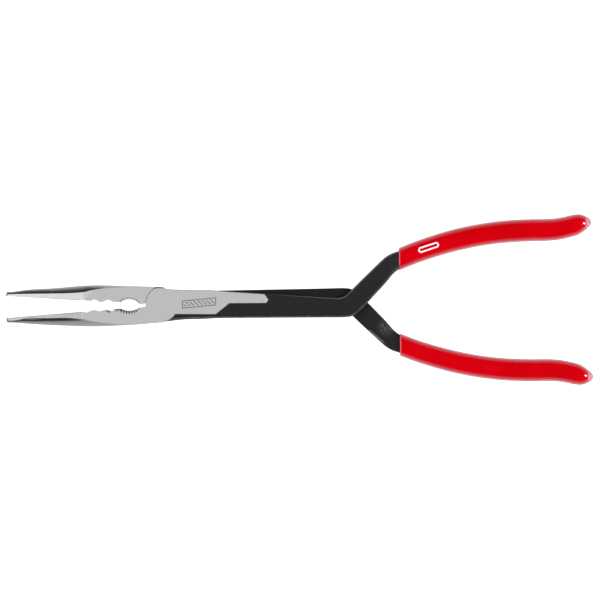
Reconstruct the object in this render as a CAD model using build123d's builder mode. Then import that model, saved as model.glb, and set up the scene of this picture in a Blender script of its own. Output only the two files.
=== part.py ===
"""Long reach needle nose pliers, modelled as the five pieces they come apart into.

Frame: millimetres, +Z up. The tool lies flat and the pivot pin's axis is Z. The origin is where
that axis meets the ground joint face the tool rests on, so the parting plane between the two
levers is at Z = HALF_JOINT. +X runs along the tool from the pivot towards the handles, so the jaws
point to -X. The levers stand half open. Each forging is drawn about the parting plane as the front
lever stands, then lifted to its place.

front_lever   forging on the +Z side: lower jaw (-Y), joint plate, shank, arm, upper handle's tang
rear_lever    a like forging turned half a turn about X: upper jaw (+Y), lower handle's tang
pivot_rivet   flush headed rivet: tight in the front lever, turning in the rear lever
upper_grip    dipped vinyl sleeve on the front lever's tang
lower_grip    dipped vinyl sleeve on the rear lever's tang
"""

from build123d import *
import math
import os

os.makedirs("parts", exist_ok=True)

# ---------------------------------------------------------------- joint and rivet
REST_HALF_ANGLE = 3.85  # degrees each lever stands open of the closed position
HALF_JOINT = 6.0  # half the thickness of the ground joint
MATE_GAP = 0.03  # each lever's mating face stands this far off the parting plane
DISC_R = 11.40  # round edge of the joint plate
DISC_ANGLES = (186, 123)  # where that edge starts and ends, degrees
SHOULDER_R = 11.62  # the other lever's shoulder, which the round edge turns inside
SHOULDER_ANGLES = (132, 228)
RIVET_R = 4.00
REAR_CLEARANCE = 0.05  # running clearance round the rivet in the rear lever
HEAD_R = 5.20  # countersunk rivet head, at the outer face
HEAD_DEPTH = 1.30
HEAD_END_X = 5.6  # where the ground head ends towards the handles
CUT_START_Z = -1  # cutters through a lever start here, beyond its mating face,
CUT_HEIGHT = 10  # and are this high
CUT_REACH = 12  # other cutters reach this far to clear the forging

# Plan of the joint plate's upper edge after its round edge, then of its hidden lower side.
PLATE_TOP = [(-4.6, 9.78), (-1.2, 9.72), (2.6, 9.30), (7.0, 8.86)]
PLATE_BOTTOM = [(7.0, -6.5), (-2.0, -8.0), (-8.5, -6.5)]
# Recess for the other lever's plate, on from the lower end of the shoulder's arc.
RECESS = [(-6.6, -9.9), (-6.1, -14.0), (16.0, -14.0), (16.0, 12.0)]
# Round lower corner of the ground head, in plan.
HEAD_CORNER = [(HEAD_END_X, -4.7), (4.75, -6.45), (2.6, -8.1), (0.5, -9.25), (-1.6, -11.0)]

# ---------------------------------------------------------------- jaws, closed position
TIP_X = -92.6
TIP_HALF_H = 1.46  # half the height of the needle's tip
NEEDLE_ROOT_X = -47.5  # where the needle's tapering flats run out into the ground joint faces
GROUND_END_X = 9.0  # where the grinding outline ends, beyond the joint
JAW_OVERLAP = 2.5  # jaw sections run this far past the gripping plane before it is cut
JAW_CUT_HALF_H = 9  # half the height of the gripping face's cutter
LINE_START_X = -95.0
LINE_END_X = -10.2
LINE_CUT_Y = 9.0  # upper edge of the gripping face's cutter

NEEDLE_TEETH = (-91.2, -50.4)  # cross serrations of the needle part
NEEDLE_Y = -0.02  # gripping line along the needle
NEEDLE_PITCH = 1.20
NEEDLE_TOOTH_DEPTH = 0.22
PIPE_PITCH = 1.30  # coarser teeth of the pipe grip
PIPE_TOOTH_DEPTH = 0.30
PIPE_FLAT = (-29.2, -25.6)  # straight toothed run ahead of the lower jaw's round
PIPE_FLAT_Y = 0.12
# Pipe grip's toothed round: start x, end x, depth, height of its two ends.
LOWER_PIPE = (-25.6, -15.3, 1.50, -0.15)
UPPER_PIPE = (-26.2, -15.6, 2.20, -0.10)

# Slanted notches open the tooth gaps to each side.
NEEDLE_NOTCH = 0.70  # deepest notch of the needle
NEEDLE_NOTCH_LENGTH = 2.4
PIPE_NOTCH_LENGTH = 5.0
PIPE_FLAT_NOTCH = 0.85
LOWER_PIPE_NOTCH = 1.50
UPPER_PIPE_NOTCH = 1.25
NOTCH_SLANT = 0.42  # how far a notch climbs out of the jaw for each millimetre down
NOTCH_HALF_SHARE = 0.43  # a notch's half width over the tooth pitch
FLAT_NOTCH_LIFT = 0.10  # notch triangles start this far outside a straight gripping line
PIPE_NOTCH_LIFT = 0.12  # and this far outside the round

# Jaw stations: x, then for the front and the rear lever's jaw the width from the gripping plane to
# the outer edge and the half height the rounded flank would have without the two ground flats.
JAW = [
    (-94.0, (2.72, 1.26), (2.72, 1.43)),
    (-82.0, (4.18, 2.66), (4.24, 2.86)),
    (-70.0, (5.92, 3.97), (5.70, 4.28)),
    (-58.0, (7.42, 5.34), (7.24, 5.71)),
    (-50.5, (8.32, 6.48), (8.32, 6.72)),
    (-44.0, (8.98, 7.76), (9.06, 7.95)),
    (-38.0, (9.40, 9.10), (9.50, 9.50)),
    (-31.0, (9.68, 11.4), (9.64, 11.8)),
    (-24.0, (9.90, 14.4), (9.78, 14.6)),
    (-16.0, (10.04, 17.8), (10.04, 17.8)),
    (-8.0, (9.94, 20.6), (10.20, 20.6)),
    (0.0, (10.02, 22.6), (10.22, 22.6)),
    (8.0, (10.10, 23.6), (10.25, 23.6)),
]
FLANK_ANGLES = [math.radians(degrees) for degrees in range(90, -91, -18)]

# Needle's tip in side view: distance behind the tip, z.
TIP_SIDE = [
    (0.75, TIP_HALF_H + 0.07), (0.12, 0.75), (0.0, 0.0), (0.12, -0.75), (0.75, -TIP_HALF_H - 0.07),
]
# Needle's tip in plan: distance behind the tip, y. The second list closes the cut outside it.
TIP_PLAN = [(0.05, 0.0), (0.02, -1.60), (0.35, -2.45), (1.40, -3.02)]
TIP_PLAN_OUTSIDE = [(1.0, -5.0), (-3.0, -5.0), (-3.0, 0.0)]

# ---------------------------------------------------------------- shank, arm and tang
SHANK_LOW = 0.15  # shank's inner face, off the parting plane
SHANK_TOP = 5.80  # shank's outer face, a little below the ground joint
MID = (SHANK_TOP + SHANK_LOW) / 2
HALF = (SHANK_TOP - SHANK_LOW) / 2
EDGE_R = 2.0  # forged rounding along the shank's outer edges
GROUND_R = 0.35  # the same where the ground flat runs out to the edge
INNER_R = 0.5  # the same along its inner edges

# Plan from the joint to the handle: upper edge, lower edge, centre height, half thickness,
# radius of the outer corner at the upper edge, at the lower edge, and of both inner corners.
ARM = [
    ((-3.0, 9.00), (-3.0, -9.98), MID, HALF, GROUND_R, EDGE_R, INNER_R),
    ((2.0, 9.05), (2.0, -9.22), MID, HALF, GROUND_R, EDGE_R, INNER_R),
    ((5.5, 8.92), (5.5, -8.66), MID, HALF, GROUND_R, EDGE_R, INNER_R),
    ((10.0, 8.56), (10.0, -8.24), MID, HALF, GROUND_R, EDGE_R, INNER_R),
    ((17.0, 8.38), (17.0, -7.94), MID, HALF, GROUND_R, EDGE_R, INNER_R),
    ((27.0, 8.16), (27.0, -7.96), MID, HALF, GROUND_R, EDGE_R, INNER_R),
    ((33.0, 7.66), (33.0, -8.00), MID, HALF, GROUND_R, EDGE_R, INNER_R),
    ((40.0, 7.04), (40.0, -8.05), MID, HALF, GROUND_R, EDGE_R, INNER_R),
    ((60.0, 5.54), (60.0, -8.17), MID, HALF, GROUND_R, EDGE_R, INNER_R),
    ((80.0, 4.08), (80.0, -8.30), MID, HALF, 1.0, EDGE_R, INNER_R),
    ((92.0, 3.24), (93.0, -8.42), MID, HALF, 1.5, EDGE_R, INNER_R),
    ((97.8, 2.90), (100.0, -8.50), MID, HALF, 1.8, EDGE_R, INNER_R),
    ((101.3, 2.98), (104.6, -8.44), MID, HALF, EDGE_R, EDGE_R, INNER_R),
    ((103.8, 3.78), (108.4, -7.62), MID, HALF, EDGE_R, EDGE_R, INNER_R),
    ((105.8, 5.20), (111.7, -5.50), MID, HALF, EDGE_R, EDGE_R, INNER_R),
    ((107.9, 7.20), (114.7, -2.70), MID, HALF, EDGE_R, EDGE_R, INNER_R),
    ((111.2, 10.45), (118.5, 1.25), MID, HALF, EDGE_R, EDGE_R, 0.55),
    ((116.0, 15.15), (123.6, 6.65), MID, HALF, EDGE_R, EDGE_R, 0.65),
    ((121.3, 20.15), (128.6, 12.00), MID - 0.03, HALF, 2.05, 2.05, 0.95),
    ((126.3, 24.80), (132.9, 16.90), 2.400, 2.900, 2.15, 2.15, 1.50),
    ((130.6, 27.75), (136.2, 19.40), 1.560, 2.980, 2.25, 2.25, 2.00),
]

# Grip's outline: centre x, centre y, half width across the handle, direction in degrees.
HANDLE = [
    (137.5, 25.45, 6.06, 21.6), (144.5, 28.18, 6.13, 20.0), (151.5, 30.55, 6.20, 17.9),
    (158.4, 32.68, 6.25, 16.3), (165.4, 34.62, 6.32, 14.2), (172.4, 36.24, 6.37, 12.1),
    (179.3, 37.60, 6.38, 10.0), (186.3, 38.70, 6.40, 8.0), (193.2, 39.56, 6.44, 5.9),
    (200.2, 40.12, 6.46, 3.9), (207.2, 40.45, 6.46, 2.1), (214.1, 40.60, 6.44, 0.6),
    (221.0, 40.60, 6.40, 1.6), (227.5, 41.02, 6.32, 6.6), (233.5, 42.10, 6.20, 13.0),
]
WALL = 1.60  # grip's wall over the tang, across the handle
TANG_HALF_T = 3.20
TANG_R = 2.3
# Tang at each handle station: centre height, half thickness.
TANG_LEVELS = [(0.80, 3.05), (0.28, 3.15), (0.06, TANG_HALF_T)]
TANG_LEVELS += [(0.0, TANG_HALF_T)] * (len(HANDLE) - len(TANG_LEVELS))
TANG_END = (238.6, 43.45, 3.7, 14.8969)  # the tang's last section, in HANDLE's columns
TANG_END_HALF_T = 2.8
TANG_END_R = 2.2
TANG_END_GROWTH = 1.2  # how far the end moves along X for each millimetre of growth

# ---------------------------------------------------------------- grips
GRIP_CLEAR = 0.08  # grip's pocket over the tang
GRIP_HALF_T = 4.90
GRIP_R = 3.6
# The mouth stands level across the tool, so the first sections turn gradually to stand square to
# the handle; they take the place of the first handle station. Columns as HANDLE.
GRIP_MOUTH = [(135.6, 24.70, 6.52, 0.0), (139.8, 26.33, 6.21, 10.0)]
# Rounded end and nib: HANDLE's columns, then half thickness and corner radius.
GRIP_END = [
    (237.8, 43.22, 6.08, 15.0, 4.85, 3.6),
    (241.2, 44.22, 5.42, 10.5, 4.55, 3.5),
    (243.9, 44.65, 4.15, 6.5, 3.85, 3.2),
    (246.2, 44.85, 2.60, 5.0, 2.60, 2.2),
    (247.5, 44.96, 1.10, 4.0, 1.20, 0.95),
]


# ---------------------------------------------------------------- gripping lines and notches
def serrate(start, end, y, pitch, depth):
    """Zigzag from start to end along height y, cut below it by depth; its last point is left out."""
    count = round((end - start) / pitch)
    points = []
    for i in range(count):
        points.append((start + (end - start) * i / count, y))
        points.append((start + (end - start) * (i + 0.5) / count, y - depth))
    return points


def arc_radius(half, depth):
    """Radius of the arc with this half chord and depth."""
    return (half * half + depth * depth) / (2 * depth)


def scallop(centre_x, half, depth, y, steps=10):
    """Round shallow dip in the gripping line, as points without its two ends."""
    radius = arc_radius(half, depth)
    points = []
    for i in range(1, steps):
        offset = -half + 2 * half * i / steps
        drop = math.sqrt(radius * radius - offset * offset) - (radius - depth)
        points.append((centre_x + offset, y - drop))
    return points


def pipe_round(start, end, depth, y):
    """The pipe grip's round: radius, half angle, tooth count, and a function to place points.

    That function takes an angle from straight down and a distance from the round's centre.
    """
    half = (end - start) / 2
    radius = arc_radius(half, depth)
    half_angle = math.asin(half / radius)
    count = round(2 * half_angle * radius / PIPE_PITCH)

    def place(angle, distance):
        x = (start + end) / 2 + distance * math.sin(angle)
        return x, y - depth + radius - distance * math.cos(angle)

    return radius, half_angle, count, place


def pipe_teeth(pipe):
    """Zigzag laid along the pipe grip's round."""
    radius, half_angle, count, place = pipe_round(*pipe)
    points = [place(-half_angle, radius)]
    for i in range(count):
        gap = -half_angle + 2 * half_angle * (i + 0.5) / count
        points.append(place(gap, radius + PIPE_TOOTH_DEPTH))
        points.append(place(-half_angle + 2 * half_angle * (i + 1) / count, radius))
    return points


def pipe_notches(pipe, reach):
    """Notch triangles over the tooth gaps of the round."""
    radius, half_angle, count, place = pipe_round(*pipe)
    half_width = 2 * half_angle / count * NOTCH_HALF_SHARE
    lifted = radius - PIPE_NOTCH_LIFT
    triangles = []
    for i in range(count):
        gap = -half_angle + 2 * half_angle * (i + 0.5) / count
        triangles.append([
            place(gap - half_width, lifted),
            place(gap, radius + reach),
            place(gap + half_width, lifted),
        ])
    return triangles


def flat_notches():
    """Notch triangles over the straight toothed run of the lower jaw's pipe grip."""
    start, end = PIPE_FLAT
    count = round((end - start) / PIPE_PITCH)
    half_width = (end - start) / count * NOTCH_HALF_SHARE
    lifted = PIPE_FLAT_Y + FLAT_NOTCH_LIFT
    triangles = []
    for i in range(count):
        x = start + (end - start) * (i + 0.5) / count
        bottom = (x, PIPE_FLAT_Y - PIPE_FLAT_NOTCH)
        triangles.append([(x - half_width, lifted), bottom, (x + half_width, lifted)])
    return triangles


def needle_notches(slope, side):
    """Notch triangles over the needle's serrations, in the plane of one tapering flat.

    The plane's own y runs along +Y on the upper flat (side 1) and along -Y on the lower one (-1).
    The two tooth gaps nearest the tip have none.
    """
    start, end = NEEDLE_TEETH
    count = round((end - start) / NEEDLE_PITCH)
    half_width = (end - start) / count * NOTCH_HALF_SHARE
    lifted = side * FLAT_NOTCH_LIFT
    triangles = []
    for i in range(2, count):
        x = (start + (end - start) * (i + 0.5) / count - TIP_X) / math.cos(slope)
        depth = NEEDLE_NOTCH * (0.45 + 0.55 * i / count)  # deeper towards the root
        triangles.append([(x - half_width, lifted), (x, -side * depth), (x + half_width, lifted)])
    return triangles


def needle_line():
    """Start of either jaw's gripping line, to the end of the needle's serrations."""
    teeth = serrate(*NEEDLE_TEETH, NEEDLE_Y, NEEDLE_PITCH, NEEDLE_TOOTH_DEPTH)
    return [(LINE_START_X, NEEDLE_Y), *teeth, (NEEDLE_TEETH[1], NEEDLE_Y)]


def lower_line():
    return [
        *needle_line(),
        (-48.3, -0.02),
        *scallop(-46.1, 2.2, 0.60, -0.02),
        (-43.9, -0.02), (-43.4, 0.04), (-42.7, 0.30), (-41.9, 0.42), (-41.0, 0.32), (-40.4, 0.0),
        *scallop(-38.1, 2.2, 0.58, 0.0),
        (-35.9, 0.0), (-35.0, 0.08), (-33.7, 0.0),
        *scallop(-31.7, 2.0, 1.05, 0.0),
        (-29.7, 0.0),
        *serrate(*PIPE_FLAT, PIPE_FLAT_Y, PIPE_PITCH, PIPE_TOOTH_DEPTH),
        *pipe_teeth(LOWER_PIPE),
        (-14.9, -0.36), (-14.0, -0.30), (-13.0, -0.17), (-12.2, -0.13), (-11.75, -0.10),
        (-11.2, 0.30), (LINE_END_X, 1.1),
    ]


def upper_line():
    """The rear lever's line, drawn like the front lever's before the lever is turned over."""
    return [
        *needle_line(),
        (-49.2, -0.02),
        *scallop(-47.4, 1.8, 0.45, -0.02),
        (-45.6, -0.03), (-43.7, -0.06),
        *scallop(-41.3, 2.4, 0.90, -0.06),
        (-38.9, -0.06), (-38.3, 0.22), (-37.6, 0.33), (-36.9, 0.20), (-36.2, -0.12),
        *scallop(-33.3, 2.6, 1.15, -0.17),
        (-30.7, -0.17), (-26.2, -0.20),
        *pipe_teeth(UPPER_PIPE),
        (-14.9, 0.24), (-13.5, 0.10), (-12.4, -0.24), (-11.3, -0.60), (LINE_END_X, -1.3),
    ]


# ---------------------------------------------------------------- section planes
def across(x, y, direction, z=0.0):
    """Plane square to a direction in plan, in degrees: local x to its +Y side, local y up."""
    angle = math.radians(direction)
    cos, sin = math.cos(angle), math.sin(angle)
    return Plane(origin=(x, y, z), x_dir=(-sin, cos, 0), z_dir=(cos, sin, 0))


def edge_plane(upper, lower, z):
    """Plane across a lever, midway between its edges: local x to the upper edge, local y up."""
    dx, dy = upper[0] - lower[0], upper[1] - lower[1]
    origin = ((upper[0] + lower[0]) / 2, (upper[1] + lower[1]) / 2, z)
    return Plane(origin=origin, x_dir=(dx, dy, 0), z_dir=(dy, -dx, 0))


def on_circle(radius, degrees):
    angle = math.radians(degrees)
    return radius * math.cos(angle), radius * math.sin(angle)


# ---------------------------------------------------------------- shank, arm and tang
def bar_sections():
    """Sections as (plane, half width, half thickness, two outer radii, inner radius)."""
    sections = []
    for upper, lower, z, half_t, upper_r, lower_r, inner_r in ARM:
        half = math.dist(upper, lower) / 2
        sections.append((edge_plane(upper, lower, z), half, half_t, upper_r, lower_r, inner_r))
    for (x, y, half, direction), (z, half_t) in zip(HANDLE, TANG_LEVELS):
        plane = across(x, y, direction, z)
        sections.append((plane, half - WALL, half_t, TANG_R, TANG_R, TANG_R))
    return sections


def bar(grow):
    """Shank, arm and tang as one loft, grown larger all round."""
    x, y, half, direction = TANG_END
    end = across(x + TANG_END_GROWTH * grow, y, direction)
    sections = bar_sections()
    sections.append((end, half, TANG_END_HALF_T, TANG_END_R, TANG_END_R, TANG_END_R))
    with BuildPart() as body:
        for plane, half, half_t, upper_r, lower_r, inner_r in sections:
            with BuildSketch(plane) as section:
                Rectangle(2 * (half + grow), 2 * (half_t + grow))
                outer = section.vertices().group_by(Axis.Y)[-1].sort_by(Axis.X)
                fillet(outer[-1], upper_r)
                outer = section.vertices().group_by(Axis.Y)[-1].sort_by(Axis.X)
                fillet(outer[0], lower_r)
                fillet(section.vertices().group_by(Axis.Y)[0], inner_r)
        loft()
    return body.part


# ---------------------------------------------------------------- levers
def jaw_solid(line, notches, rear):
    """A jaw on the -Y side in the closed position, cut to its gripping line and notches."""
    with BuildPart() as jaw:
        for x, front_flank, rear_flank in JAW:
            width, height = rear_flank if rear else front_flank
            with BuildSketch(across(x, 0, 0)):
                with BuildLine():
                    flank = Spline(
                        *[(-width * math.cos(a), height * math.sin(a)) for a in FLANK_ANGLES]
                    )
                    Polyline(flank @ 1, (JAW_OVERLAP, -height), (JAW_OVERLAP, height), flank @ 0)
                make_face()
        loft()
        # both sides ground flat: level at the joint, tapering along the needle, round at the tip
        with BuildSketch(Plane.XZ.offset(-CUT_REACH)):
            with BuildLine():
                tip = Spline(*[(TIP_X + x, z) for x, z in TIP_SIDE])
                Polyline(
                    tip @ 1,
                    (NEEDLE_ROOT_X, -HALF_JOINT),
                    (GROUND_END_X, -HALF_JOINT),
                    (GROUND_END_X, HALF_JOINT),
                    (NEEDLE_ROOT_X, HALF_JOINT),
                    tip @ 0,
                )
            make_face()
        extrude(amount=2 * CUT_REACH, mode=Mode.INTERSECT)
        # gripping face, with the tip's outer corner rounded in plan
        with BuildSketch(Plane.XY.offset(-JAW_CUT_HALF_H)):
            with BuildLine():
                Polyline(*line, (LINE_END_X, LINE_CUT_Y), (LINE_START_X, LINE_CUT_Y), close=True)
            make_face()
            with BuildLine():
                nose = Spline(*[(TIP_X + x, y) for x, y in TIP_PLAN])
                Polyline(nose @ 1, *[(TIP_X + x, y) for x, y in TIP_PLAN_OUTSIDE], nose @ 0)
            make_face()
        extrude(amount=2 * JAW_CUT_HALF_H, mode=Mode.SUBTRACT)
        # slanted notches from both sides: in the pipe grip, then along the needle's flats
        slope = math.atan2(HALF_JOINT - TIP_HALF_H, NEEDLE_ROOT_X - TIP_X)
        for side in (1, -1):
            along = (math.cos(slope), 0, side * math.sin(slope))
            out = (-math.sin(slope), 0, side * math.cos(slope))
            flat = Plane(origin=(TIP_X, 0, side * TIP_HALF_H), x_dir=along, z_dir=out)
            joint_face = Plane.XY.offset(side * HALF_JOINT)
            for plane, outward, triangles, length in (
                (joint_face, (0, 0, side), notches, PIPE_NOTCH_LENGTH),
                (flat, out, needle_notches(slope, side), NEEDLE_NOTCH_LENGTH),
            ):
                with BuildSketch(plane):
                    for triangle in triangles:
                        with BuildLine():
                            Polyline(*triangle, close=True)
                        make_face()
                inward = (-outward[0], NOTCH_SLANT, -outward[2])
                extrude(amount=length, dir=inward, mode=Mode.SUBTRACT)
    return jaw.part


def forging(line, notches, rear, clearance):
    """A lever as the front one stands, bored for the rivet with the clearance given."""
    jaw = jaw_solid(line, notches, rear)
    with BuildPart() as lever:
        add(jaw.rotate(Axis.Z, REST_HALF_ANGLE))
        # joint plate with its round edge
        with BuildSketch(Plane.XY.offset(MATE_GAP)):
            with BuildLine():
                edge = RadiusArc(*[on_circle(DISC_R, a) for a in DISC_ANGLES], DISC_R)
                top = Spline(edge @ 1, *PLATE_TOP)
                Polyline(top @ 1, *PLATE_BOTTOM, edge @ 0)
            make_face()
        extrude(amount=HALF_JOINT - MATE_GAP)
        # recess that clears the other lever's joint plate
        with BuildSketch(Plane.XY.offset(MATE_GAP)):
            with BuildLine():
                arc = RadiusArc(*[on_circle(SHOULDER_R, a) for a in SHOULDER_ANGLES], -SHOULDER_R)
                Polyline(arc @ 1, *RECESS, arc @ 0)
            make_face()
        extrude(amount=-CUT_REACH, mode=Mode.SUBTRACT)
        # end of the ground head, with its round lower corner
        with BuildSketch(Plane.XY.offset(CUT_START_Z)):
            with BuildLine():
                end_line = Line((HEAD_END_X, 14.0), HEAD_CORNER[0])
                corner = Spline(*HEAD_CORNER, tangents=[(0, -1), (-0.6, -1)])
                Polyline(corner @ 1, (16, -14), (16, 14), end_line @ 0)
            make_face()
        extrude(amount=CUT_HEIGHT, mode=Mode.SUBTRACT)
        add(bar(0.0))
        # rivet hole and its countersink
        with BuildSketch(Plane.XY.offset(CUT_START_Z)):
            Circle(RIVET_R + clearance)
        extrude(amount=CUT_HEIGHT, mode=Mode.SUBTRACT)
        with BuildSketch(Plane.XY.offset(HALF_JOINT)):
            Circle(HEAD_R + clearance)
        with BuildSketch(Plane.XY.offset(HALF_JOINT - HEAD_DEPTH - clearance)):
            Circle(RIVET_R + clearance)
        loft(mode=Mode.SUBTRACT)
    return lever.part


def front_forging():
    flat = flat_notches()
    notches = flat + pipe_notches(LOWER_PIPE, LOWER_PIPE_NOTCH)
    return forging(lower_line(), notches, rear=False, clearance=0.0)


def rear_forging():
    notches = pipe_notches(UPPER_PIPE, UPPER_PIPE_NOTCH)
    return forging(upper_line(), notches, rear=True, clearance=REAR_CLEARANCE)


# ---------------------------------------------------------------- rivet and grips
def rivet_solid():
    height = 2 * HALF_JOINT
    with BuildPart() as rivet:
        with BuildSketch(Plane.XZ):
            with BuildLine():
                Polyline(
                    (0, 0),
                    (HEAD_R, 0),
                    (RIVET_R, HEAD_DEPTH),
                    (RIVET_R, height - HEAD_DEPTH),
                    (HEAD_R, height),
                    (0, height),
                    close=True,
                )
            make_face()
        revolve(axis=Axis.Z)
    return rivet.part


def grip_solid():
    """Sleeve on the front lever's tang: outer loft from mouth to nib, less the tang's pocket."""
    sections = [(*station, GRIP_HALF_T, GRIP_R) for station in GRIP_MOUTH + HANDLE[1:]]
    with BuildPart() as grip:
        for x, y, half, direction, half_t, radius in sections + GRIP_END:
            with BuildSketch(across(x, y, direction)):
                RectangleRounded(2 * half, 2 * half_t, radius)
        loft()
        add(bar(GRIP_CLEAR), mode=Mode.SUBTRACT)
    return grip.part


# ---------------------------------------------------------------- placing and export
def lifted(shape):
    """The shape raised from about the parting plane to its place."""
    with BuildPart() as placed:
        with Locations((0, 0, HALF_JOINT)):
            add(shape)
    return placed.part


grip_shape = grip_solid()
pieces = {
    "front_lever": lifted(front_forging()),
    "rear_lever": lifted(rear_forging().rotate(Axis.X, 180)),
    "pivot_rivet": rivet_solid(),
    "upper_grip": lifted(grip_shape),
    "lower_grip": lifted(grip_shape.rotate(Axis.X, 180)),
}
for name, piece in pieces.items():
    piece.label = name
    export_step(piece, f"parts/{name}.step")
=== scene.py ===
"""Long-nosed pliers lying flat on a pale floor.

The rivet is at the origin, the jaws point along -X and the handles along +X. The front lever's
handle is on the +Y side, the rear lever's on the -Y side, and the levers part at a level plane.
Geometry is in metres; shapes and material positions are given in millimetres.
"""
import math
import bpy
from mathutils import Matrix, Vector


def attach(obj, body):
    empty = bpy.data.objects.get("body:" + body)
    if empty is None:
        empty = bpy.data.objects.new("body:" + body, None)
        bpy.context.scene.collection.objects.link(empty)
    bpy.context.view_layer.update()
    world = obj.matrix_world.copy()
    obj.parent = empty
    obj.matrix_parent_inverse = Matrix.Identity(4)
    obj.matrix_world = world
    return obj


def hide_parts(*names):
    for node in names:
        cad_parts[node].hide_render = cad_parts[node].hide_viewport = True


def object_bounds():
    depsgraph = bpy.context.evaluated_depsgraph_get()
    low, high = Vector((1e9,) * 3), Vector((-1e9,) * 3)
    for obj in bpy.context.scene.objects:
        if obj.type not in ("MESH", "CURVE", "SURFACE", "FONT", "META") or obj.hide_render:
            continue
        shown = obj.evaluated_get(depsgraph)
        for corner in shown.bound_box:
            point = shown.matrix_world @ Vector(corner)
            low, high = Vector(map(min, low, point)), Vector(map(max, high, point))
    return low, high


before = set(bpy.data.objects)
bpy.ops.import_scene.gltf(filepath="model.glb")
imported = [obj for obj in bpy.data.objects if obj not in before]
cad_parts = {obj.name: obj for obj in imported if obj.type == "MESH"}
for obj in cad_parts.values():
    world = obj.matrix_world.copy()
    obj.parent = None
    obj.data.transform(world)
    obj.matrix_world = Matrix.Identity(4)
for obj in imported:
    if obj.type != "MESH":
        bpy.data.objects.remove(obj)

from types import SimpleNamespace

import bmesh
import bpy
from mathutils import Vector

CAD_LO, CAD_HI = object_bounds()
MM = 0.001
scene = bpy.context.scene

PART_Z = 6.0  # height of the parting plane between the levers, mm
JAW_TILT = 3.85  # slope of each gripping edge in the lever's own plan, degrees

STEEL = 0.49  # ground steel's reflectance
BLACK_SPEC = 0.13  # specular level of the black oxide

# where the levers' finishes and painted light and shade differ; x positions in mm, flat is the
# normal's |z|
FRONT = SimpleNamespace(
    flip=False,
    needle_slope=0.5, needle_lo=-52.5, needle_hi=-48.5,  # slanted start of the needle's flat
    needle_light_tone=0.43,  # reflectance of that flat, lowered as painted shade
    break_lo=0.60, break_hi=0.72,  # flat values where the painted dark reflection line along the flank starts
    pipe_recess_shade=0.96,  # painted shade in the pipe grip's recesses
)
REAR = SimpleNamespace(
    flip=True,
    needle_slope=1.04, needle_lo=-52.6, needle_hi=-49.2,
    # the needle's flat raised as painted light
    needle_light_tone=0.56,
    break_lo=0.42, break_hi=0.58,
    pipe_recess_shade=0.72,
)


# ------------------------------------------------------------------ shader graph helpers
class Signal:
    """A node's output; arithmetic on it adds Math nodes."""

    def __init__(self, graph, socket):
        self.graph, self.socket = graph, socket

    def __add__(self, other):
        return self.graph.math("ADD", self, other)

    def __sub__(self, other):
        return self.graph.math("SUBTRACT", self, other)

    def __rsub__(self, other):
        return self.graph.math("SUBTRACT", other, self)

    def __mul__(self, other):
        return self.graph.math("MULTIPLY", self, other)

    def __abs__(self):
        return self.graph.math("ABSOLUTE", self)

    def max(self, other):
        return self.graph.math("MAXIMUM", self, other)

    def min(self, other):
        return self.graph.math("MINIMUM", self, other)

    def ramp(self, lo, hi, to_lo=0.0, to_hi=1.0, kind="SMOOTHSTEP"):
        """Clamped change from to_lo at lo to to_hi at hi; lo may be above hi."""
        inputs = {"Value": self, "From Min": lo, "From Max": hi, "To Min": to_lo, "To Max": to_hi}
        return self.graph.node("ShaderNodeMapRange", inputs, interpolation_type=kind, clamp=True)


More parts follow.
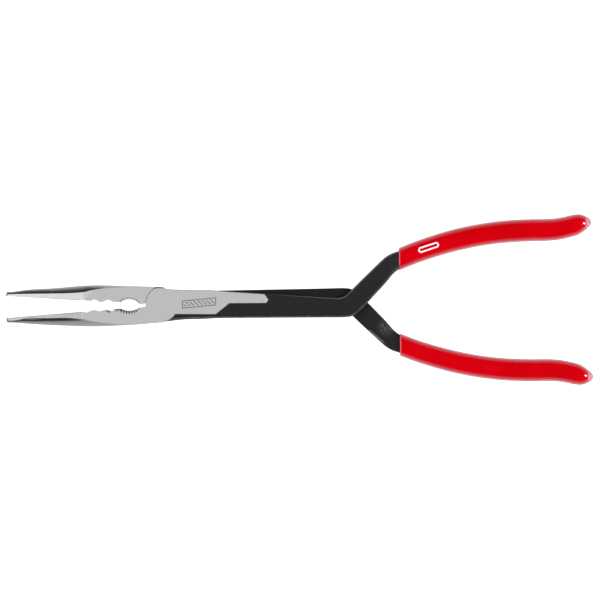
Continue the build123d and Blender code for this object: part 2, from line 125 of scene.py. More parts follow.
class Graph:
    """Short names for building one material's or world's node tree."""

    def __init__(self, owner):
        self.owner = owner
        owner.use_nodes = True
        self.tree = owner.node_tree
        self.tree.nodes.clear()

    def add(self, kind, inputs=(), **props):
        """Add a node; inputs maps input names or numbers to signals or values."""
        node = self.tree.nodes.new(kind)
        for key, value in props.items():
            setattr(node, key, value)
        for key, value in dict(inputs).items():
            if isinstance(value, Signal):
                self.tree.links.new(value.socket, node.inputs[key])
            elif value is not None:
                node.inputs[key].default_value = value
        return node

    def node(self, kind, inputs=(), output=0, **props):
        return Signal(self, self.add(kind, inputs, **props).outputs[output])

    def math(self, operation, *values, clamp=False):
        return self.node("ShaderNodeMath", dict(enumerate(values)),
                         operation=operation, use_clamp=clamp)

    def mix(self, factor, off, on):
        return self.node("ShaderNodeMix", {0: factor, 6: off, 7: on}, 2, data_type="RGBA")

    def mix_float(self, factor, off, on):
        return self.node("ShaderNodeMix", {0: factor, 2: off, 3: on}, data_type="FLOAT")

    def mix_vector(self, factor, off, on):
        return self.node("ShaderNodeMix", {0: factor, 4: off, 5: on}, 1, data_type="VECTOR")

    def mix_shader(self, factor, off, on):
        return self.node("ShaderNodeMixShader", {0: factor, 1: off, 2: on})

    def paint(self, base, colour, mask, strength=None):
        """Lay colour over base where mask is 1, thinned by strength if given."""
        return self.mix(mask if strength is None else mask * strength, base, colour)

    def noise(self, vector, scale, detail=3.0, rough=0.55):
        return self.node("ShaderNodeTexNoise", {
            "Vector": vector, "Scale": scale, "Detail": detail, "Roughness": rough})

    def scaled(self, vector, scale, location=(0, 0, 0)):
        return self.node("ShaderNodeMapping", {
            "Vector": vector, "Scale": scale, "Location": location})

    def object_mm(self, z_shift=0, flip=False):
        """Object position in mm; flip turns it half round about X."""
        coord = self.node("ShaderNodeTexCoord", output="Object")
        side = -1000 if flip else 1000
        return self.scaled(coord, (1000, side, side), (0, 0, z_shift))

    def xyz(self, vector):
        return [Signal(self, s) for s in self.add("ShaderNodeSeparateXYZ", {0: vector}).outputs]

    def flatness(self):
        """1 on level faces, 0 on upright ones."""
        return abs(self.xyz(self.node("ShaderNodeNewGeometry", output="Normal"))[2])

    def facing(self):
        return self.node("ShaderNodeLayerWeight", {"Blend": 0.5}, output="Facing")

    def bump(self, height, strength, distance, normal=None):
        return self.node("ShaderNodeBump", {
            "Height": height, "Strength": strength, "Distance": distance, "Normal": normal})

    def edges(self, radius):
        """0 on a flat face, rising towards 1 within radius of an edge; and the rounded normal."""
        rounded = self.node("ShaderNodeBevel", {"Radius": radius}, samples=8)
        normal = self.node("ShaderNodeNewGeometry", output="Normal")
        dot = self.node("ShaderNodeVectorMath", {0: rounded, 1: normal}, "Value",
                        operation="DOT_PRODUCT")
        return 1.0 - dot, rounded

    def principled(self, **inputs):
        return self.node("ShaderNodeBsdfPrincipled",
                         {key.replace("_", " "): value for key, value in inputs.items()})

    def finish(self, shader, kind="ShaderNodeOutputMaterial"):
        self.add(kind, {"Surface": shader})
        return self.owner


def below(a, b, width=0.14):
    """1 where a < b, with a soft step."""
    return (b - a).ramp(lo=-width, hi=width)


def line(signal, slope, offset):
    return signal * slope + offset


def radius(a, b):
    return a.graph.math("SQRT", a * a + b * b)


def zigzag(signal):
    """0.5 at whole numbers, 0 half way between them."""
    return abs(signal.graph.math("FRACT", signal) - 0.5)


def turned(a, b, degrees):
    """Coordinates of (a, b) along and across a direction."""
    cos, sin = math.cos(math.radians(degrees)), math.sin(math.radians(degrees))
    return a * cos + b * sin, b * cos - a * sin


def grey(level, blue=None):
    return (level, level, level if blue is None else blue, 1)


def srgb(*channels):
    def linear(c):
        return c / 12.92 if c <= 0.04045 else ((c + 0.055) / 1.055) ** 2.4
    return tuple(linear(c / 255) for c in channels) + (1.0,)


# ------------------------------------------------------------------ steel shared by levers and rivet
def fine_grain(g, mm):
    """Fine brushing, drawn out along Y."""
    return g.noise(g.scaled(mm, scale=(7.5, 0.28, 0.6)), scale=1.0, detail=3.0, rough=0.65)


def speck_noise(g, mm):
    return g.noise(mm, scale=2.4, detail=4.0, rough=0.7)


def grain_tone(grain):
    return grain.ramp(lo=0.28, hi=0.74, kind="LINEAR")


def add_specks(g, steel, speck):
    return g.paint(steel, grey(STEEL * 0.62, STEEL * 0.63),
                   mask=speck.ramp(lo=0.62, hi=0.78, to_hi=0.30))


def brushed_rough(g, tone):
    return g.mix_float(tone, off=0.40, on=0.31)


# ------------------------------------------------------------------ levers: ground steel, black oxide
class LeverGraph(Graph):
    """Signals shared by a lever's masks and finishes.

    Positions are in mm about the parting plane, turned so both levers read as the front one.
    """

    def __init__(self, name, look):
        super().__init__(bpy.data.materials.new(name))
        self.look = look
        self.mm = self.object_mm(PART_Z if look.flip else -PART_Z, look.flip)
        self.x, self.y, self.z = self.xyz(self.mm)
        self.flat = self.flatness()
        self.outer = self.z.ramp(lo=1.2, hi=1.6)  # the side away from the other lever
        wide = self.noise(self.scaled(self.mm, scale=(1.2, 0.06, 0.2)),
                          scale=1.0, detail=2.0, rough=0.5)
        self.grain = fine_grain(self, self.mm) * 0.65 + wide * 0.35
        self.tone = grain_tone(self.grain)
        self.speck = speck_noise(self, self.mm)
        self.fine = self.noise(self.mm, scale=2.6, detail=5.0, rough=0.75)
        self.grit = self.noise(self.mm, scale=6.5, detail=3.0, rough=0.6)

    def edge_depth(self):
        """Distance in Y from the gripping edge into the jaw."""
        return self.x * math.tan(math.radians(JAW_TILT)) - self.y


def bare_masks(g):
    """Where the steel is ground bare, and where the joint's faces are left in oxide and painted
    darker as shade.
    """
    x, y, z = g.x, g.y, g.z
    wobble = (g.noise(g.mm, scale=0.9, detail=2.0) - 0.5) * 0.22
    y_wobbly = y + wobble
    x_wobbly = x + wobble

    # the jaw, the joint's raised top, and the joint's +Y side
    joint_side = below(x, 5.62, width=0.03) * y.ramp(lo=0.0, hi=0.5)
    head = below(x, -0.4, width=0.25).max(z.ramp(lo=5.84, hi=5.90)).max(joint_side)

    # the shank's patch: its lower boundary is level, then diagonal, then level again
    near_level = line(x, slope=-0.0178, offset=-5.13)
    diagonal = line(x, slope=0.789, offset=-28.60)
    far_level = line(x, slope=-0.0078, offset=0.92)
    above = below(near_level.max(diagonal.min(far_level)), y_wobbly)
    # its end towards the handle comes to a point
    point_x, point_y = 59.7, 2.25
    end_low = line(point_y - y, slope=-0.70, offset=point_x)
    end_high = line(y - point_y, slope=-0.66, offset=point_x)
    bare = head.max(above * below(x_wobbly, end_low.min(end_high)) * g.outer)

    # the faces that slide on each other, and the walls round the joint plate: left unground, and
    # painted darker as shade
    from_rivet = radius(x, y)
    sliding = from_rivet.ramp(lo=11.60, hi=11.70, to_lo=1.0, to_hi=0.0) * z.ramp(lo=0.30, hi=0.12)
    wall = abs(from_rivet - 11.51).ramp(lo=0.17, hi=0.14) * g.flat.ramp(lo=0.6, hi=0.3)
    hidden = sliding.max(wall)
    return bare * (1.0 - hidden), hidden


def brushed_steel(g):
    """Cross-brushed steel, with the needle's flat in its own tone: painted light on the rear lever,
    painted shade on the front one.
    """
    look = g.look
    steel = g.mix(g.tone, off=grey(STEEL * 0.90, STEEL * 0.905),
                  on=grey(STEEL * 1.09, STEEL * 1.095))
    cloud = g.noise(g.mm, scale=0.13, detail=3.0, rough=0.5)
    steel = g.paint(steel, (STEEL * 0.95, STEEL * 0.955, STEEL * 0.96, 1),
                    mask=cloud.ramp(lo=0.3, hi=0.7, to_hi=0.40))
    steel = add_specks(g, steel, g.speck)
    needle = (g.x + g.y * look.needle_slope).ramp(
        lo=look.needle_lo, hi=look.needle_hi, to_lo=1.0, to_hi=0.0)
    needle_light_tone = g.mix(g.tone, off=grey(look.needle_light_tone * 0.93, look.needle_light_tone * 0.935),
                         on=grey(look.needle_light_tone * 1.06))
    return g.paint(steel, needle_light_tone, mask=needle * g.flat.ramp(lo=0.90, hi=0.97))


def flank_reflection_line(g):
    """Painted dark reflection line where the flat breaks into the flank: behind the rear needle, at
    the front point.
    """
    x, flat, look = g.x, g.flat, g.look
    mask = flat.ramp(lo=look.break_lo, hi=look.break_hi) * flat.ramp(lo=0.98, hi=0.94)
    if look.flip:
        mask *= x.ramp(lo=-52.0, hi=-43.5) * x.ramp(lo=-30.5, hi=-36.0)
    else:
        mask *= x.ramp(lo=-81.5, hi=-86.0)
    return mask * g.edge_depth().ramp(lo=0.9, hi=1.4)


def tooth_recess_shade(g):
    """Painted shade in the recesses along the gripping edge, deeper at the pipe grip."""
    x, flat = g.x, g.flat
    pipe = x.ramp(lo=-33.5, hi=-31.5)
    fade_start = g.mix_float(pipe, off=1.7, on=5.0)
    fade_end = g.mix_float(pipe, off=2.3, on=5.8)
    mask = flat.ramp(lo=0.94, hi=0.87) * (1.0 - g.edge_depth().ramp(lo=fade_start, hi=fade_end))
    mask *= x.ramp(lo=-12.2, hi=-13.6) * x.ramp(lo=-93.6, hi=-92.6)
    mask *= flat.ramp(lo=0.10, hi=0.26, to_lo=0.45, to_hi=1.0)
    return mask * g.mix_float(pipe, off=0.50, on=g.look.pipe_recess_shade)


def pipe_gap_shade(g, along, across):
    """Painted shade in the gaps between the pipe grip's teeth: a round run of them, then a straight
    one.
    """
    centre_x, centre_y = 20.45, 7.941  # the round's centre is at (-centre_x, centre_y)
    round_radius, half_angle, teeth = 9.591, 0.5667, 8
    round_depth, straight_depth = 2.5, 1.9  # mm over which a gap closes
    straight_start, straight_length, straight_teeth = 29.2, 3.6, 3
    straight_top = 0.12
    widest = 1.15  # a gap's width at its mouth, in half pitches

    def soft_gap(difference):
        return difference.ramp(lo=-0.10, hi=0.22)

    from_x, from_y = along + centre_x, centre_y - across
    distance = radius(from_x, from_y)
    turn = (g.math("ARCTAN2", from_x, from_y) + half_angle) * (teeth / (2 * half_angle))
    wave = zigzag(turn) * 2.0
    reach = (1.0 - (distance - round_radius) * (1 / round_depth)) * widest
    round_gaps = soft_gap(reach - wave) * (
        turn.ramp(lo=0.0, hi=0.2) * turn.ramp(lo=teeth - 0.9, hi=teeth - 1.8))

    run = (along + straight_start) * (straight_teeth / straight_length)
    wave = zigzag(run) * 2.0
    reach = widest - (straight_top - across) * (1 / straight_depth)
    straight_gaps = soft_gap(reach - wave) * (
        run.ramp(lo=-0.1, hi=0.1) * run.ramp(lo=3.1, hi=2.9))
    return round_gaps.max(straight_gaps) * g.flat.ramp(lo=0.5, hi=0.8)


def scallop_shade_mask(g):
    """Painted shade on the flank of the last shallow notch."""
    scallop_shade_x, scallop_shade_y = -33.3, -3.20
    cos, sin = 0.979, 0.203  # the painted shade's direction
    dx, dy = g.x - scallop_shade_x, g.y - scallop_shade_y
    along = dx * cos + dy * -sin
    across = dx * sin + dy * cos
    return abs(across).ramp(lo=0.85, hi=0.25) * (
        along.ramp(lo=-2.2, hi=0.9) * along.ramp(lo=1.75, hi=1.35))


def needle_marks(g, along, across):
    """Thin darker edge and faint darker marks at a steady pitch along the needle's serrated edge."""
    rim = across.ramp(lo=-0.75, hi=-0.25) * along.ramp(lo=-47.0, hi=-49.0)
    marks_per_mm = 0.62
    marks = zigzag(along * marks_per_mm).ramp(lo=0.30, hi=0.10) * (
        along.ramp(lo=-66.0, hi=-60.0) * along.ramp(lo=-46.0, hi=-50.0)
        * g.flat.ramp(lo=0.93, hi=0.97))
    rim_strength, mark_strength = 0.30, 0.22
    return g.math("ADD", rim * rim_strength, marks * mark_strength, clamp=True)


def etched_panel(g):
    """Etched panel on the shank: an outline filled with plain slanted lines."""
    centre_x, half_length, half_height = 19.6, 9.6, 2.05
    lines_per_mm = 0.42
    over_x = abs(g.x - centre_x) - half_length
    rise = g.y - line(g.x, slope=0.085, offset=-0.75)
    over_y = abs(rise) - half_height
    outside = over_x.max(over_y)
    outline = abs(outside).ramp(lo=0.34, hi=0.18) * g.outer
    stripe = zigzag((g.x + rise) * lines_per_mm)
    hatch = stripe.ramp(lo=0.20, hi=0.10) * (outside.ramp(lo=-0.60, hi=-0.85) * g.outer)
    return outline.max(hatch) * g.speck.ramp(lo=0.70, hi=0.50, to_lo=0.75, to_hi=1.0)


def ground_steel(g):
    """Colour and roughness of the bare steel, and the etched mask."""
    steel = brushed_steel(g)
    flank = g.flat.ramp(lo=0.97, hi=0.93)
    rough = g.mix_float(flank, off=brushed_rough(g, g.tone), on=0.17)
    # painted dark reflection along the flank
    steel = g.paint(steel, grey(0.06, 0.061), mask=flank_reflection_line(g), strength=0.68)
    recess = tooth_recess_shade(g)
    # painted shade in the tooth recesses
    steel = g.paint(steel, grey(0.020, 0.021), mask=recess)
    if not g.look.flip:
        along, across = turned(g.x, g.y, JAW_TILT)  # the closed jaw's frame
        gap_shade = pipe_gap_shade(g, along, across)
        # painted shade in the gaps between the pipe grip's teeth
        steel = g.paint(steel, grey(0.025, 0.026), mask=gap_shade, strength=0.86)
        recess = recess.max(gap_shade)
        # painted shade on the notch's flank
        steel = g.paint(steel, grey(0.05, 0.052), mask=scallop_shade_mask(g), strength=0.88)
        steel = g.paint(steel, grey(0.12, 0.122), mask=needle_marks(g, along, across))
    rough = g.mix_float(recess, off=rough, on=0.50)
    rough = g.mix_float(g.x.ramp(lo=-92.2, hi=-93.2) * flank, off=rough, on=0.48)
    etched = etched_panel(g)
    steel = g.paint(steel, grey(0.075, 0.078), mask=etched, strength=0.82)
    rough = g.mix_float(etched, off=rough, on=0.55)
    return steel, rough, etched


def rear_arm_wear_and_light(g, black):
    """Scuffs with a painted sheen on the arm's inner side, a painted highlight on its outer edge, and
    a darker lever before them.
    """
    scuff_sheen_x, scuff_sheen_y = 128.0, 14.8
    highlight_x, highlight_y = 117.0, 16.1  # start of the painted edge highlight
    cos, sin = 0.753, 0.658  # its direction
    distance = radius(g.x - scuff_sheen_x, g.y - scuff_sheen_y)
    streak = g.noise(g.scaled(g.mm, scale=(0.9, 0.35, 1.0)), scale=1.6, detail=5.0, rough=0.75)
    scuff_and_sheen = distance.ramp(lo=6.5, hi=1.5) * streak.ramp(lo=0.42, hi=0.62)
    # scratched patch painted paler: scuffs, plus painted sheen where the sloping arm catches the
    # light
    black = g.paint(black, (0.105, 0.106, 0.108, 1), mask=scuff_and_sheen, strength=0.70)

    dx, dy = g.x - highlight_x, g.y - highlight_y
    off_line = abs(dx * sin - dy * cos)
    along = dx * cos + dy * sin
    span = along.ramp(lo=-0.5, hi=2.0) * along.ramp(lo=13.5, hi=10.5)
    edge_highlight = off_line.ramp(lo=1.5, hi=0.5) * span * streak.ramp(lo=0.36, hi=0.56)
    # painted highlight along the arm's outer edge
    black = g.paint(black, grey(0.19, 0.195), mask=edge_highlight, strength=0.75)
    # the rear lever lies lower and picks up less light
    return g.paint(black, grey(0.0015, 0.0017),
                   mask=g.x.ramp(lo=100.0, hi=128.0, to_lo=0.55, to_hi=0.0))


def black_oxide(g, hidden):
    """Black oxide over forged skin, and the normal rounded at its edges."""
    black = g.mix(g.fine.ramp(lo=0.36, hi=0.70), off=grey(0.0044, 0.0048),
                  on=(0.0160, 0.0162, 0.0170, 1))
    black = g.paint(black, grey(0.036, 0.037), mask=g.grit.ramp(lo=0.58, hi=0.72, to_hi=0.75))
    # painted sheen: paler where the skin slopes
    slope_sheen = (g.flat.ramp(lo=0.985, hi=0.62)
            * g.fine.ramp(lo=0.25, hi=0.55, to_lo=0.70, to_hi=1.0))
    black = g.paint(black, (0.095, 0.096, 0.099, 1),
                    mask=slope_sheen * g.z.ramp(lo=0.3, hi=2.0, to_lo=0.25, to_hi=1.0))
    blot = g.noise(g.mm, scale=0.22, detail=3.0, rough=0.6)
    black = g.paint(black, (0.0085, 0.0087, 0.0092, 1),
                    mask=blot.ramp(lo=0.45, hi=0.7, to_hi=0.5))
    edge, rounded = g.edges(radius=0.00045)
    edge_wear_noise = g.noise(g.mm, scale=1.3, detail=4.0, rough=0.7)
    edge_wear_and_sheen = edge.ramp(lo=0.02, hi=0.16) * edge_wear_noise.ramp(lo=0.36, hi=0.62)
    # paler edges: edge wear, and a painted highlight on the rounded edges
    black = g.paint(black, grey(0.17, 0.175), mask=edge_wear_and_sheen, strength=0.60)
    if g.look.flip:
        black = rear_arm_wear_and_light(g, black)
    # painted shade on the faces and walls between the levers
    black = g.paint(black, grey(0.012, 0.0125), mask=hidden.ramp(lo=0.2, hi=0.8, to_hi=0.85))
    return black, rounded


def lever_material(name, look):
    g = LeverGraph(name, look)
    bare, hidden = bare_masks(g)
    steel, steel_rough, etched = ground_steel(g)
    black, rounded = black_oxide(g, hidden)

    oxide_rough = g.fine.ramp(lo=0.3, hi=0.7, to_lo=0.40, to_hi=0.52)
    rough = g.mix_float(bare, off=oxide_rough, on=steel_rough)
    # rougher where a bare flat is seen at a low angle
    low_view = g.facing().ramp(lo=0.15, hi=0.50) * g.flat.ramp(lo=0.93, hi=0.97) * bare
    rough = g.mix_float(low_view, off=rough, on=0.72)

    # relief weights: forged skin, its grit, brushing, etched depth
    fine_relief, grit_relief, grain_relief, etched_relief = 0.8, 0.5, 0.35, 0.8
    height = g.mix_float(bare, off=g.fine * fine_relief + g.grit * grit_relief,
                         on=g.grain * grain_relief)
    height -= etched * etched_relief
    normal = g.mix_vector(bare,
                          off=g.bump(height, strength=0.45, distance=0.00005, normal=rounded),
                          on=g.bump(height, strength=0.30, distance=0.00004))

    # the nose's rounded end loses most of its metallic look
    nose = g.x.ramp(lo=-91.6, hi=-92.6) * g.flat.ramp(lo=0.97, hi=0.80)
    nose_loss = 0.85
    return g.finish(g.principled(
        Base_Color=g.mix(bare, off=black, on=steel),
        Metallic=bare * (1.0 - nose * nose_loss),
        Roughness=rough,
        Normal=normal,
        Specular_IOR_Level=g.mix_float(bare, off=BLACK_SPEC, on=0.5),
    ))


def rivet_material():
    g = Graph(bpy.data.materials.new("rivet_steel"))
    mm = g.object_mm()
    grain = fine_grain(g, mm)
    tone = grain_tone(grain)
    steel = g.mix(tone, off=grey(STEEL * 0.91, STEEL * 0.915), on=grey(STEEL * 1.08, STEEL * 1.085))
    low_view = g.facing().ramp(lo=0.15, hi=0.50)
    return g.finish(g.principled(
        Base_Color=add_specks(g, steel, speck_noise(g, mm)),
        Metallic=1.0,
        Roughness=g.mix_float(low_view, off=brushed_rough(g, tone), on=0.72),
        Normal=g.bump(grain, strength=0.3, distance=0.00004),
    ))


# ------------------------------------------------------------------ dipped vinyl
def printed_pill(g, mm, x, y, z):
    """Plain printed pill outline on the upper grip."""
    centre_x, centre_y, angle = 152.9, 31.35, 17.6
    half_straight = 4.6
    along, across = turned(x - centre_x, y - centre_y, angle)
    distance = radius((abs(along) - half_straight).max(0.0), across)
    band = distance.ramp(lo=1.72, hi=1.58)
    core = distance.ramp(lo=0.86, hi=0.72)
    ink = g.noise(mm, scale=3.5, detail=3.0, rough=0.7)
    return ((band - core) * z.ramp(lo=2.0, hi=2.6)
            * ink.ramp(lo=0.30, hi=0.42, to_lo=0.80, to_hi=1.0))


def vinyl_material():
    g = Graph(bpy.data.materials.new("dipped_vinyl"))
    mm = g.object_mm(-PART_Z)
    x, y, z = g.xyz(mm)
    cloud = g.noise(mm, scale=0.06, detail=2.0, rough=0.5)
    fine = g.noise(mm, scale=1.6, detail=3.0, rough=0.6)
    base = g.mix(cloud.ramp(lo=0.35, hi=0.65),
                 off=(0.495, 0.0005, 0.0036, 1), on=(0.550, 0.0007, 0.0048, 1))
    # painted reflection, paler where it turns away from the eye; a painted highlight on the mouth's
    # lip; paler at the clear end of the dip
    away = g.facing().min(1.0 - g.flatness())
    for colour, mask in (
        # painted reflection of the pale surroundings at grazing angles
        ((0.58, 0.052, 0.068, 1), away.ramp(lo=0.07, hi=0.20, to_hi=0.85)),
        ((0.78, 0.38, 0.42, 1), away.ramp(lo=0.20, hi=0.62, to_hi=0.80)),
        # painted highlight on the mouth's rolled lip
        ((0.78, 0.12, 0.16, 1), x.ramp(lo=136.5, hi=136.1, to_hi=0.85)),
        ((0.74, 0.33, 0.38, 1), x.ramp(lo=243.6, hi=245.2, to_hi=0.88)),
        (srgb(250, 238, 238), printed_pill(g, mm, x, y, z)),
    ):
        base = g.paint(base, colour, mask)

    normal = g.bump(fine, strength=0.07, distance=0.00006)
    body = g.principled(
        Base_Color=base, Roughness=0.5, Normal=normal, Specular_IOR_Level=0.0,
        Subsurface_Weight=0.05, Subsurface_Radius=(0.0012, 0.0003, 0.0003),
    )
    gloss_rough = g.mix_float(x.ramp(lo=240.5, hi=242.5),
                              off=fine.ramp(lo=0.3, hi=0.7, to_lo=0.13, to_hi=0.19), on=0.09)
    gloss = g.node("ShaderNodeBsdfAnisotropic", {
        "Color": (1.0, 0.93, 0.94, 1), "Roughness": gloss_rough, "Normal": normal})
    # gloss only beyond the reflection seen head on, plus a little at the grip's end
    fresnel = g.node("ShaderNodeFresnel", {"IOR": 1.5, "Normal": normal})
    head_on, gain = 0.0405, 1.25
    end_gloss = x.ramp(lo=241.0, hi=243.0, to_hi=0.030)
    amount = g.math("ADD", (fresnel - head_on).max(0.0) * gain, end_gloss, clamp=True)
    return g.finish(g.mix_shader(amount, off=body, on=gloss))


# ------------------------------------------------------------------ grips
# stations of the upper grip: x, centre y, half width, half thickness (mm), direction (degrees)
STATIONS = [
    (135.6, 24.70, 6.52, 4.90, 0.0),
    (139.8, 26.33, 6.21, 4.90, 10.0),
    (144.5, 28.18, 6.13, 4.90, 20.0),
    (151.5, 30.55, 6.20, 4.90, 17.9),
    (158.4, 32.68, 6.25, 4.90, 16.3),
    (165.4, 34.62, 6.32, 4.90, 14.2),
    (172.4, 36.24, 6.37, 4.90, 12.1),
    (179.3, 37.60, 6.38, 4.90, 10.0),
    (186.3, 38.70, 6.40, 4.90, 8.0),
    (193.2, 39.56, 6.44, 4.90, 5.9),
    (200.2, 40.12, 6.46, 4.90, 3.9),
    (207.2, 40.45, 6.46, 4.90, 2.1),
    (214.1, 40.60, 6.44, 4.90, 0.6),
    (221.0, 40.60, 6.40, 4.90, 1.6),
    (227.5, 41.02, 6.32, 4.90, 6.6),
    (233.5, 42.10, 6.20, 4.90, 13.0),
    (237.8, 43.22, 6.08, 4.85, 15.0),
    (241.2, 44.22, 5.42, 4.55, 10.5),
    (243.9, 44.65, 4.15, 3.85, 6.5),
    (246.2, 44.85, 2.60, 2.55, 5.0),
    (247.2, 44.95, 1.35, 1.20, 4.0),
]
NIB_X, NIB_Y = 247.7, 45.0  # the grip's closed point
# the hollow mouth and its rolled lip: distance in from the mouth, change of half size (mm)
MOUTH = [(7.0, -1.95), (1.6, -1.75), (0.45, -1.45), (0.12, -1.05), (0.0, -0.62),
         (0.12, -0.22), (0.5, 0.03)]
MOUTH_SLOPE = 0.39  # rise in y per x of the mouth's rings
STEPS = 5  # rings per station
RING_POINTS = 48
SQUARENESS = 2.45  # superellipse power of the grip's section
ROUNDEST, ROUND_FROM_X, ROUND_RATE = 2.1, 238, 0.06  # the power falls off near the end


def catmull_rom(before, start, end, after, t):
    return tuple(
        0.5 * ((2 * b) + (-a + c) * t + (2 * a - 5 * b + 4 * c - d) * t * t
               + (-a + 3 * b - 3 * c + d) * t ** 3)
        for a, b, c, d in zip(before, start, end, after)
    )


def smooth_stations():
    last = len(STATIONS) - 1
    smooth = []
    for i in range(last):
        near = [STATIONS[j] for j in (max(0, i - 1), i, i + 1, min(last, i + 2))]
        smooth += [catmull_rom(*near, k / STEPS) for k in range(STEPS)]
    return smooth + [STATIONS[-1]]


def grip_ring(bm, side, x, y, half_width, half_thick, direction, power):
    angle = math.radians(direction)
    ring = []
    for k in range(RING_POINTS):
        t = 2 * math.pi * k / RING_POINTS
        c, s = math.cos(t), math.sin(t)
        across = half_width * math.copysign(abs(c) ** (2 / power), c)
        up = half_thick * math.copysign(abs(s) ** (2 / power), s)
        plan_x = x - math.sin(angle) * across
        plan_y = y + math.cos(angle) * across
        ring.append(bm.verts.new((plan_x * MM, side * plan_y * MM, (PART_Z + up) * MM)))
    return ring


def grip(name, side, body, node):
    """Dipped sleeve along one handle; side is 1 for +Y, -1 for its mirror image."""
    bm = bmesh.new()
    mouth, *along = smooth_stations()
    x, y, width, thick, _ = mouth
    rings = [grip_ring(bm, side, x + inset, y + inset * MOUTH_SLOPE,
                       width + grow, thick + grow, 0.0, SQUARENESS)
             for inset, grow in MOUTH]
    for station in along:
        past = station[0] - ROUND_FROM_X
        power = SQUARENESS if past < 0 else max(ROUNDEST, SQUARENESS - past * ROUND_RATE)
        rings.append(grip_ring(bm, side, *station, power))

    def add_face(corners, backwards):
        bm.faces.new(corners[::-1] if backwards else corners)

    def close(ring, point, backwards):
        tip = bm.verts.new(point)
        for k in range(RING_POINTS):
            add_face((ring[k], ring[(k + 1) % RING_POINTS], tip), backwards)

    for a, b in zip(rings, rings[1:]):
        for k in range(RING_POINTS):
            following = (k + 1) % RING_POINTS
            add_face((a[k], a[following], b[following], b[k]), side < 0)
    inner_centre = sum((v.co for v in rings[0]), Vector()) / RING_POINTS
    close(rings[0], inner_centre, side > 0)
    close(rings[-1], (NIB_X * MM, side * NIB_Y * MM, PART_Z * MM), side < 0)

    bm.normal_update()
    obj = mesh_object(name, bm)
    for polygon in obj.data.polygons:
        polygon.use_smooth = True
    smooth = obj.modifiers.new("smooth", "SUBSURF")
    smooth.levels = smooth.render_levels = 1
    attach(obj, body)
    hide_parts(node)
    return obj


def mesh_object(name, bm):
    mesh = bpy.data.meshes.new(name)
    bm.to_mesh(mesh)
    bm.free()
    return link(bpy.data.objects.new(name, mesh))


def link(obj):
    scene.collection.objects.link(obj)
    return obj


# ------------------------------------------------------------------ floor, world, lights, camera
FLOOR_X, FLOOR_RADIUS, FLOOR_POINTS = 0.08, 6.0, 96
FLOOR_GAP = 0.00002  # below the tool
LIGHT_TARGET = (0.05, 0, 0)
CAMERA_X, CAMERA_Y = 0.07804792, 0.00188777
CAMERA_SLOPE = 0.01305  # tangent of the camera's turn about Z
CAMERA_HEIGHT = 3.0  # above the parting plane
VIEW_WIDTH = 0.348  # seen at the parting plane
SENSOR = 36.0  # mm


def floor_material():
    """Pale paper to the camera; other rays meet a glow that depends on their direction."""
    g = Graph(bpy.data.materials.new("floor_paper"))
    mottle = g.noise(g.node("ShaderNodeTexCoord", output="Object"), scale=40.0, detail=2.0)
    seen = g.principled(
        Base_Color=g.mix(mottle, off=grey(0.50), on=grey(0.53)), Roughness=0.9,
        Specular_IOR_Level=0.1, Emission_Color=grey(1), Emission_Strength=0.86,
    )
    _, toward_y, toward_z = g.xyz(g.node("ShaderNodeNewGeometry", output="Incoming"))
    glow = g.mix_float(toward_y.ramp(lo=0.05, hi=0.35),
                       off=toward_z.ramp(lo=0.00, hi=0.55, to_lo=0.30, to_hi=0.66),
                       on=toward_z.ramp(lo=0.00, hi=0.50, to_lo=0.62, to_hi=0.70))
    mirrored = g.node("ShaderNodeEmission", {"Color": grey(1), "Strength": glow})
    camera_ray = g.node("ShaderNodeLightPath", output="Is Camera Ray")
    return g.finish(g.mix_shader(camera_ray, off=mirrored, on=seen))


def build_floor():
    bm = bmesh.new()
    angles = [2 * math.pi * k / FLOOR_POINTS for k in range(FLOOR_POINTS)]
    bm.faces.new([bm.verts.new((FLOOR_X + FLOOR_RADIUS * math.cos(a),
                                FLOOR_RADIUS * math.sin(a), CAD_LO.z - FLOOR_GAP))
                  for a in angles])
    floor = mesh_object("floor", bm)
    floor.data.materials.append(floor_material())


# sky brightness: (direction's z, grey level)
# the +Y side is dark half way up, the -Y side higher; both are bright overhead
FAR_SKY = [(0.0, 0.22), (0.12, 0.15), (0.28, 0.07), (0.44, 0.06),
           (0.60, 0.08), (0.74, 0.18), (0.90, 0.95), (1.0, 1.0)]
NEAR_SKY = [(0.0, 0.62), (0.16, 0.64), (0.34, 0.56), (0.48, 0.22), (0.60, 0.05),
            (0.78, 0.04), (0.85, 0.16), (0.93, 0.97), (1.0, 1.0)]


def sky_ramp(g, height, stops):
    node = g.add("ShaderNodeValToRGB", {0: height})
    ramp = node.color_ramp
    ramp.interpolation = "EASE"
    for element, (position, level) in zip(ramp.elements, (stops[0], stops[-1])):
        element.position, element.color = position, grey(level)
    for position, level in stops[1:-1]:
        ramp.elements.new(position).color = grey(level)
    return Signal(g, node.outputs[0])


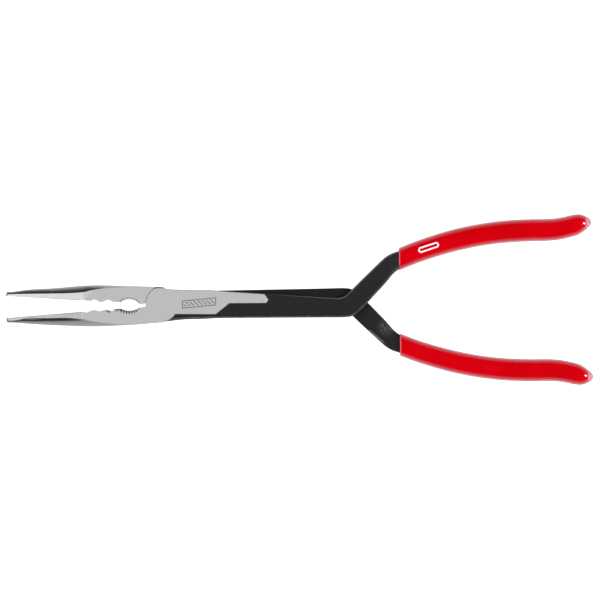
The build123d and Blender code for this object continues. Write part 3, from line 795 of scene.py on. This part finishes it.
def build_world():
    g = Graph(bpy.data.worlds.new("studio"))
    _, y, z = g.xyz(g.node("ShaderNodeTexCoord", output="Generated"))
    sky = g.mix(y.ramp(lo=-0.35, hi=-0.05, to_lo=1.0, to_hi=0.0),
                off=sky_ramp(g, z, FAR_SKY), on=sky_ramp(g, z, NEAR_SKY))
    background = g.node("ShaderNodeBackground", {"Strength": 1.0, "Color": sky})
    scene.world = g.finish(background, "ShaderNodeOutputWorld")


def area_light(name, location, size, power):
    """Square light aimed at LIGHT_TARGET."""
    light = bpy.data.lights.new(name, "AREA")
    light.shape = "RECTANGLE"
    light.size = light.size_y = size
    light.energy = power
    obj = bpy.data.objects.new(name, light)
    obj.location = location
    aim = Vector(LIGHT_TARGET) - Vector(location)
    obj.rotation_euler = aim.to_track_quat("-Z", "Y").to_euler()
    link(obj)


def build_camera():
    """Straight down, turned slightly about Z."""
    data = bpy.data.cameras.new("camera")
    data.sensor_width = SENSOR
    data.lens = SENSOR * CAMERA_HEIGHT / VIEW_WIDTH
    data.clip_start, data.clip_end = 0.1, 50
    camera = link(bpy.data.objects.new("camera", data))
    camera.location = (CAMERA_X, CAMERA_Y, CAMERA_HEIGHT + PART_Z * MM)
    camera.rotation_euler = (0, 0, -math.atan(CAMERA_SLOPE))
    scene.camera = camera


# ------------------------------------------------------------------ build
for node, material in (
    ("front_lever", lever_material("lever_front", FRONT)),
    ("rear_lever", lever_material("lever_rear", REAR)),
    ("pivot_rivet", rivet_material()),
):
    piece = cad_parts[node]
    if not piece.material_slots:
        piece.data.materials.append(material)
    for slot in piece.material_slots:
        slot.material = material

vinyl = vinyl_material()
sleeves = [
    grip("upper_grip_sleeve", 1, "front_half", "upper_grip"),
    grip("lower_grip_sleeve", -1, "rear_half", "lower_grip"),
]
for sleeve in sleeves:
    sleeve.data.materials.append(vinyl)

build_floor()
build_world()
area_light("tip_side", location=(-1.3, 0.0, 1.1), size=1.2, power=22)
area_light("grip_side", location=(1.23, 0.0, 1.27), size=0.30, power=20)
build_camera()
scene.view_settings.view_transform = "Standard"
scene.view_settings.look = "None"
